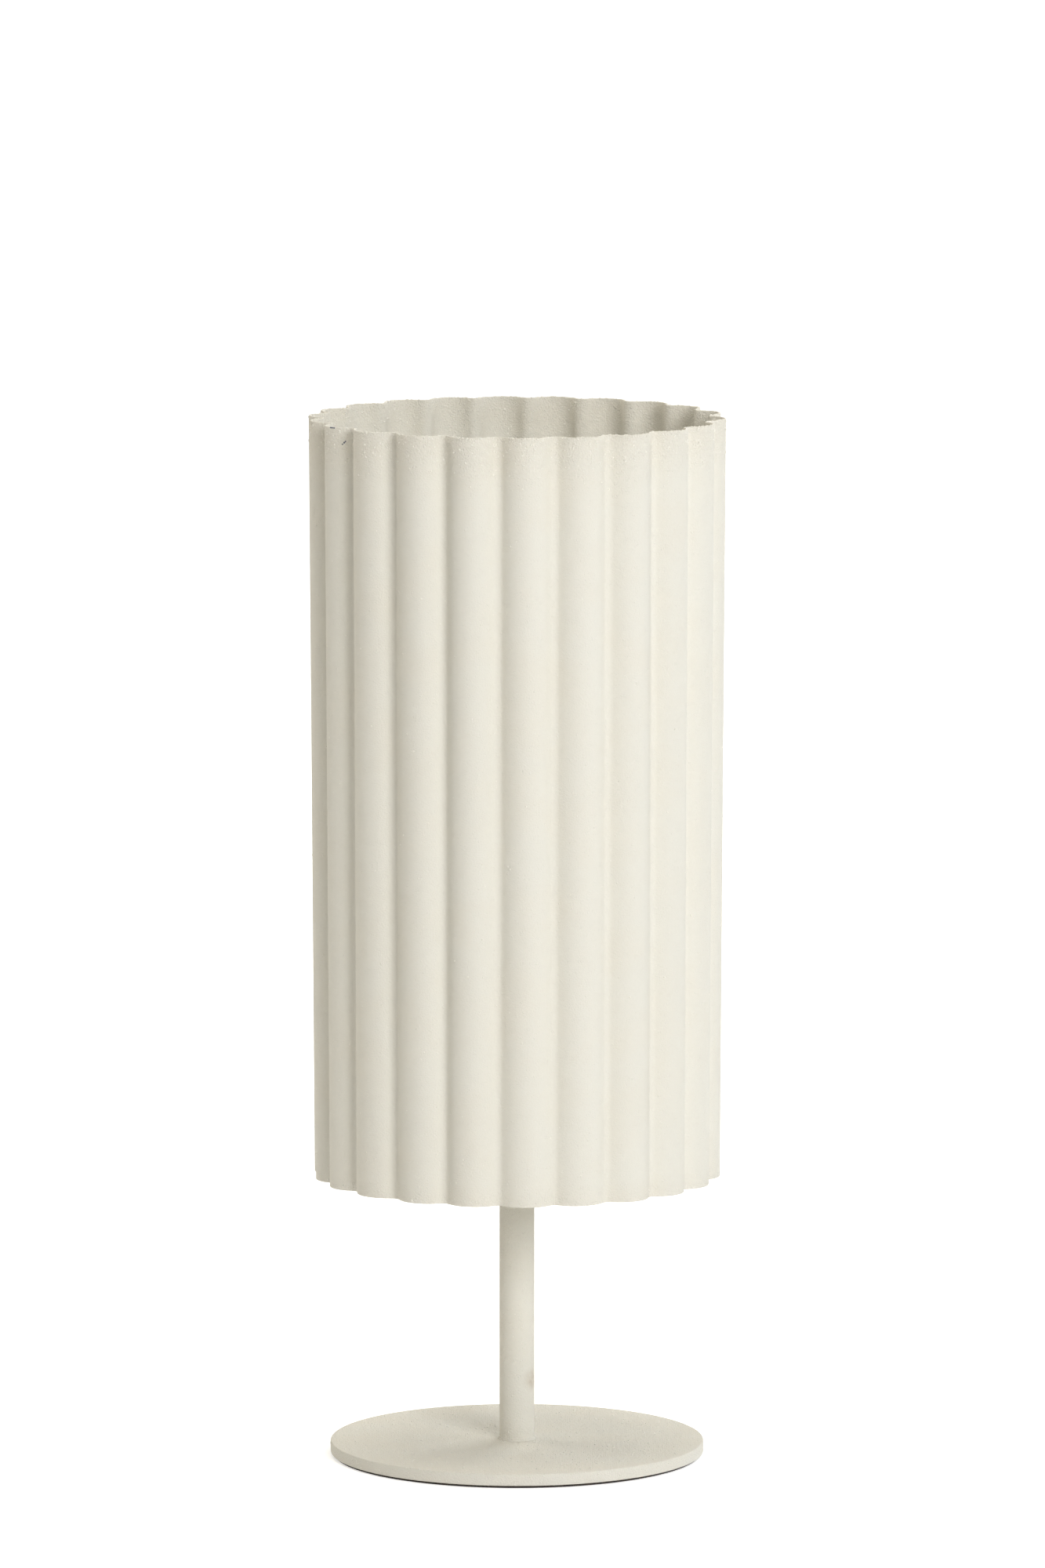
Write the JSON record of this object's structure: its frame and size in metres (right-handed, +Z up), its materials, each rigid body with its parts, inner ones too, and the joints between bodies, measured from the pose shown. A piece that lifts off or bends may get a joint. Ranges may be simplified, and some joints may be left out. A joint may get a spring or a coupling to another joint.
{
  "type": "table lamp",
  "caption": "Table lamp with a tall ribbed sheet-metal shade, open at both ends, on a thin round stem and a flat round foot, all in textured cream paint.",
  "frame": {"origin": "centre of the foot's underside, on the table below the stem", "axes": "+Z up along the stem, -Y to the front, +Y to the cable inlet at the back, +X to the right seen from the front"},
  "size_m": [0.189, 0.1898, 0.478],
  "materials": {
    "cream_paint": "fine sand texture, matt",
    "dark_felt": "pressed felt",
    "zinc_steel": "zinc plated",
    "cream_rubber": "matt",
    "black_plastic": "moulded, satin",
    "contact_brass": "plain",
    "bulb_metal": "bright",
    "black_glass": "glossy",
    "clear_glass": "clear",
    "phosphor": "matt"
  },
  "bodies": {
    "lamp": {"base_pad": "dark_felt", "base_plate": "cream_paint", "base_screw": "zinc_steel", "stem_foot_bush": "zinc_steel", "stem_tube": "cream_paint", "cable_grommet": "cream_rubber", "stem_top_bush": "zinc_steel", "lamp_nipple": "zinc_steel", "shade": "cream_paint", "shade_wheel": "cream_paint", "wheel_tacks": "cream_paint", "clamp_washer": "zinc_steel", "clamp_nut": "zinc_steel", "holder_cap": "black_plastic", "holder_lock_screw": "black_plastic", "holder_insert": "black_plastic", "holder_terminals": "contact_brass", "terminal_screws": "zinc_steel", "centre_contact": "contact_brass", "side_contact": "contact_brass", "holder_body": "black_plastic"},
    "bulb_foot": {"bulb_eyelet": "contact_brass"},
    "bulb": {"bulb_shell": "bulb_metal", "bulb_insulator": "black_glass", "bulb_glass": "clear_glass", "bulb_mount": "clear_glass", "bulb_filaments": "phosphor", "bulb_leads": "bulb_metal"}
  },
  "joints": [
    {"name": "bulb_rise", "type": "slide", "parent": "lamp", "child": "bulb_foot", "axis": [0, 0, 1], "range_m": [0, 0.02177]},
    {"name": "bulb_turn", "type": "hinge", "parent": "bulb_foot", "child": "bulb", "pos_m": [0, 0, 0.2123], "axis": [0, 0, 1], "range_deg": [0, 2160]}
  ],
  "couplings": [
    {"joint": "bulb_turn", "follows": "bulb_rise", "rad_per_m": 1731.4}
  ]
}
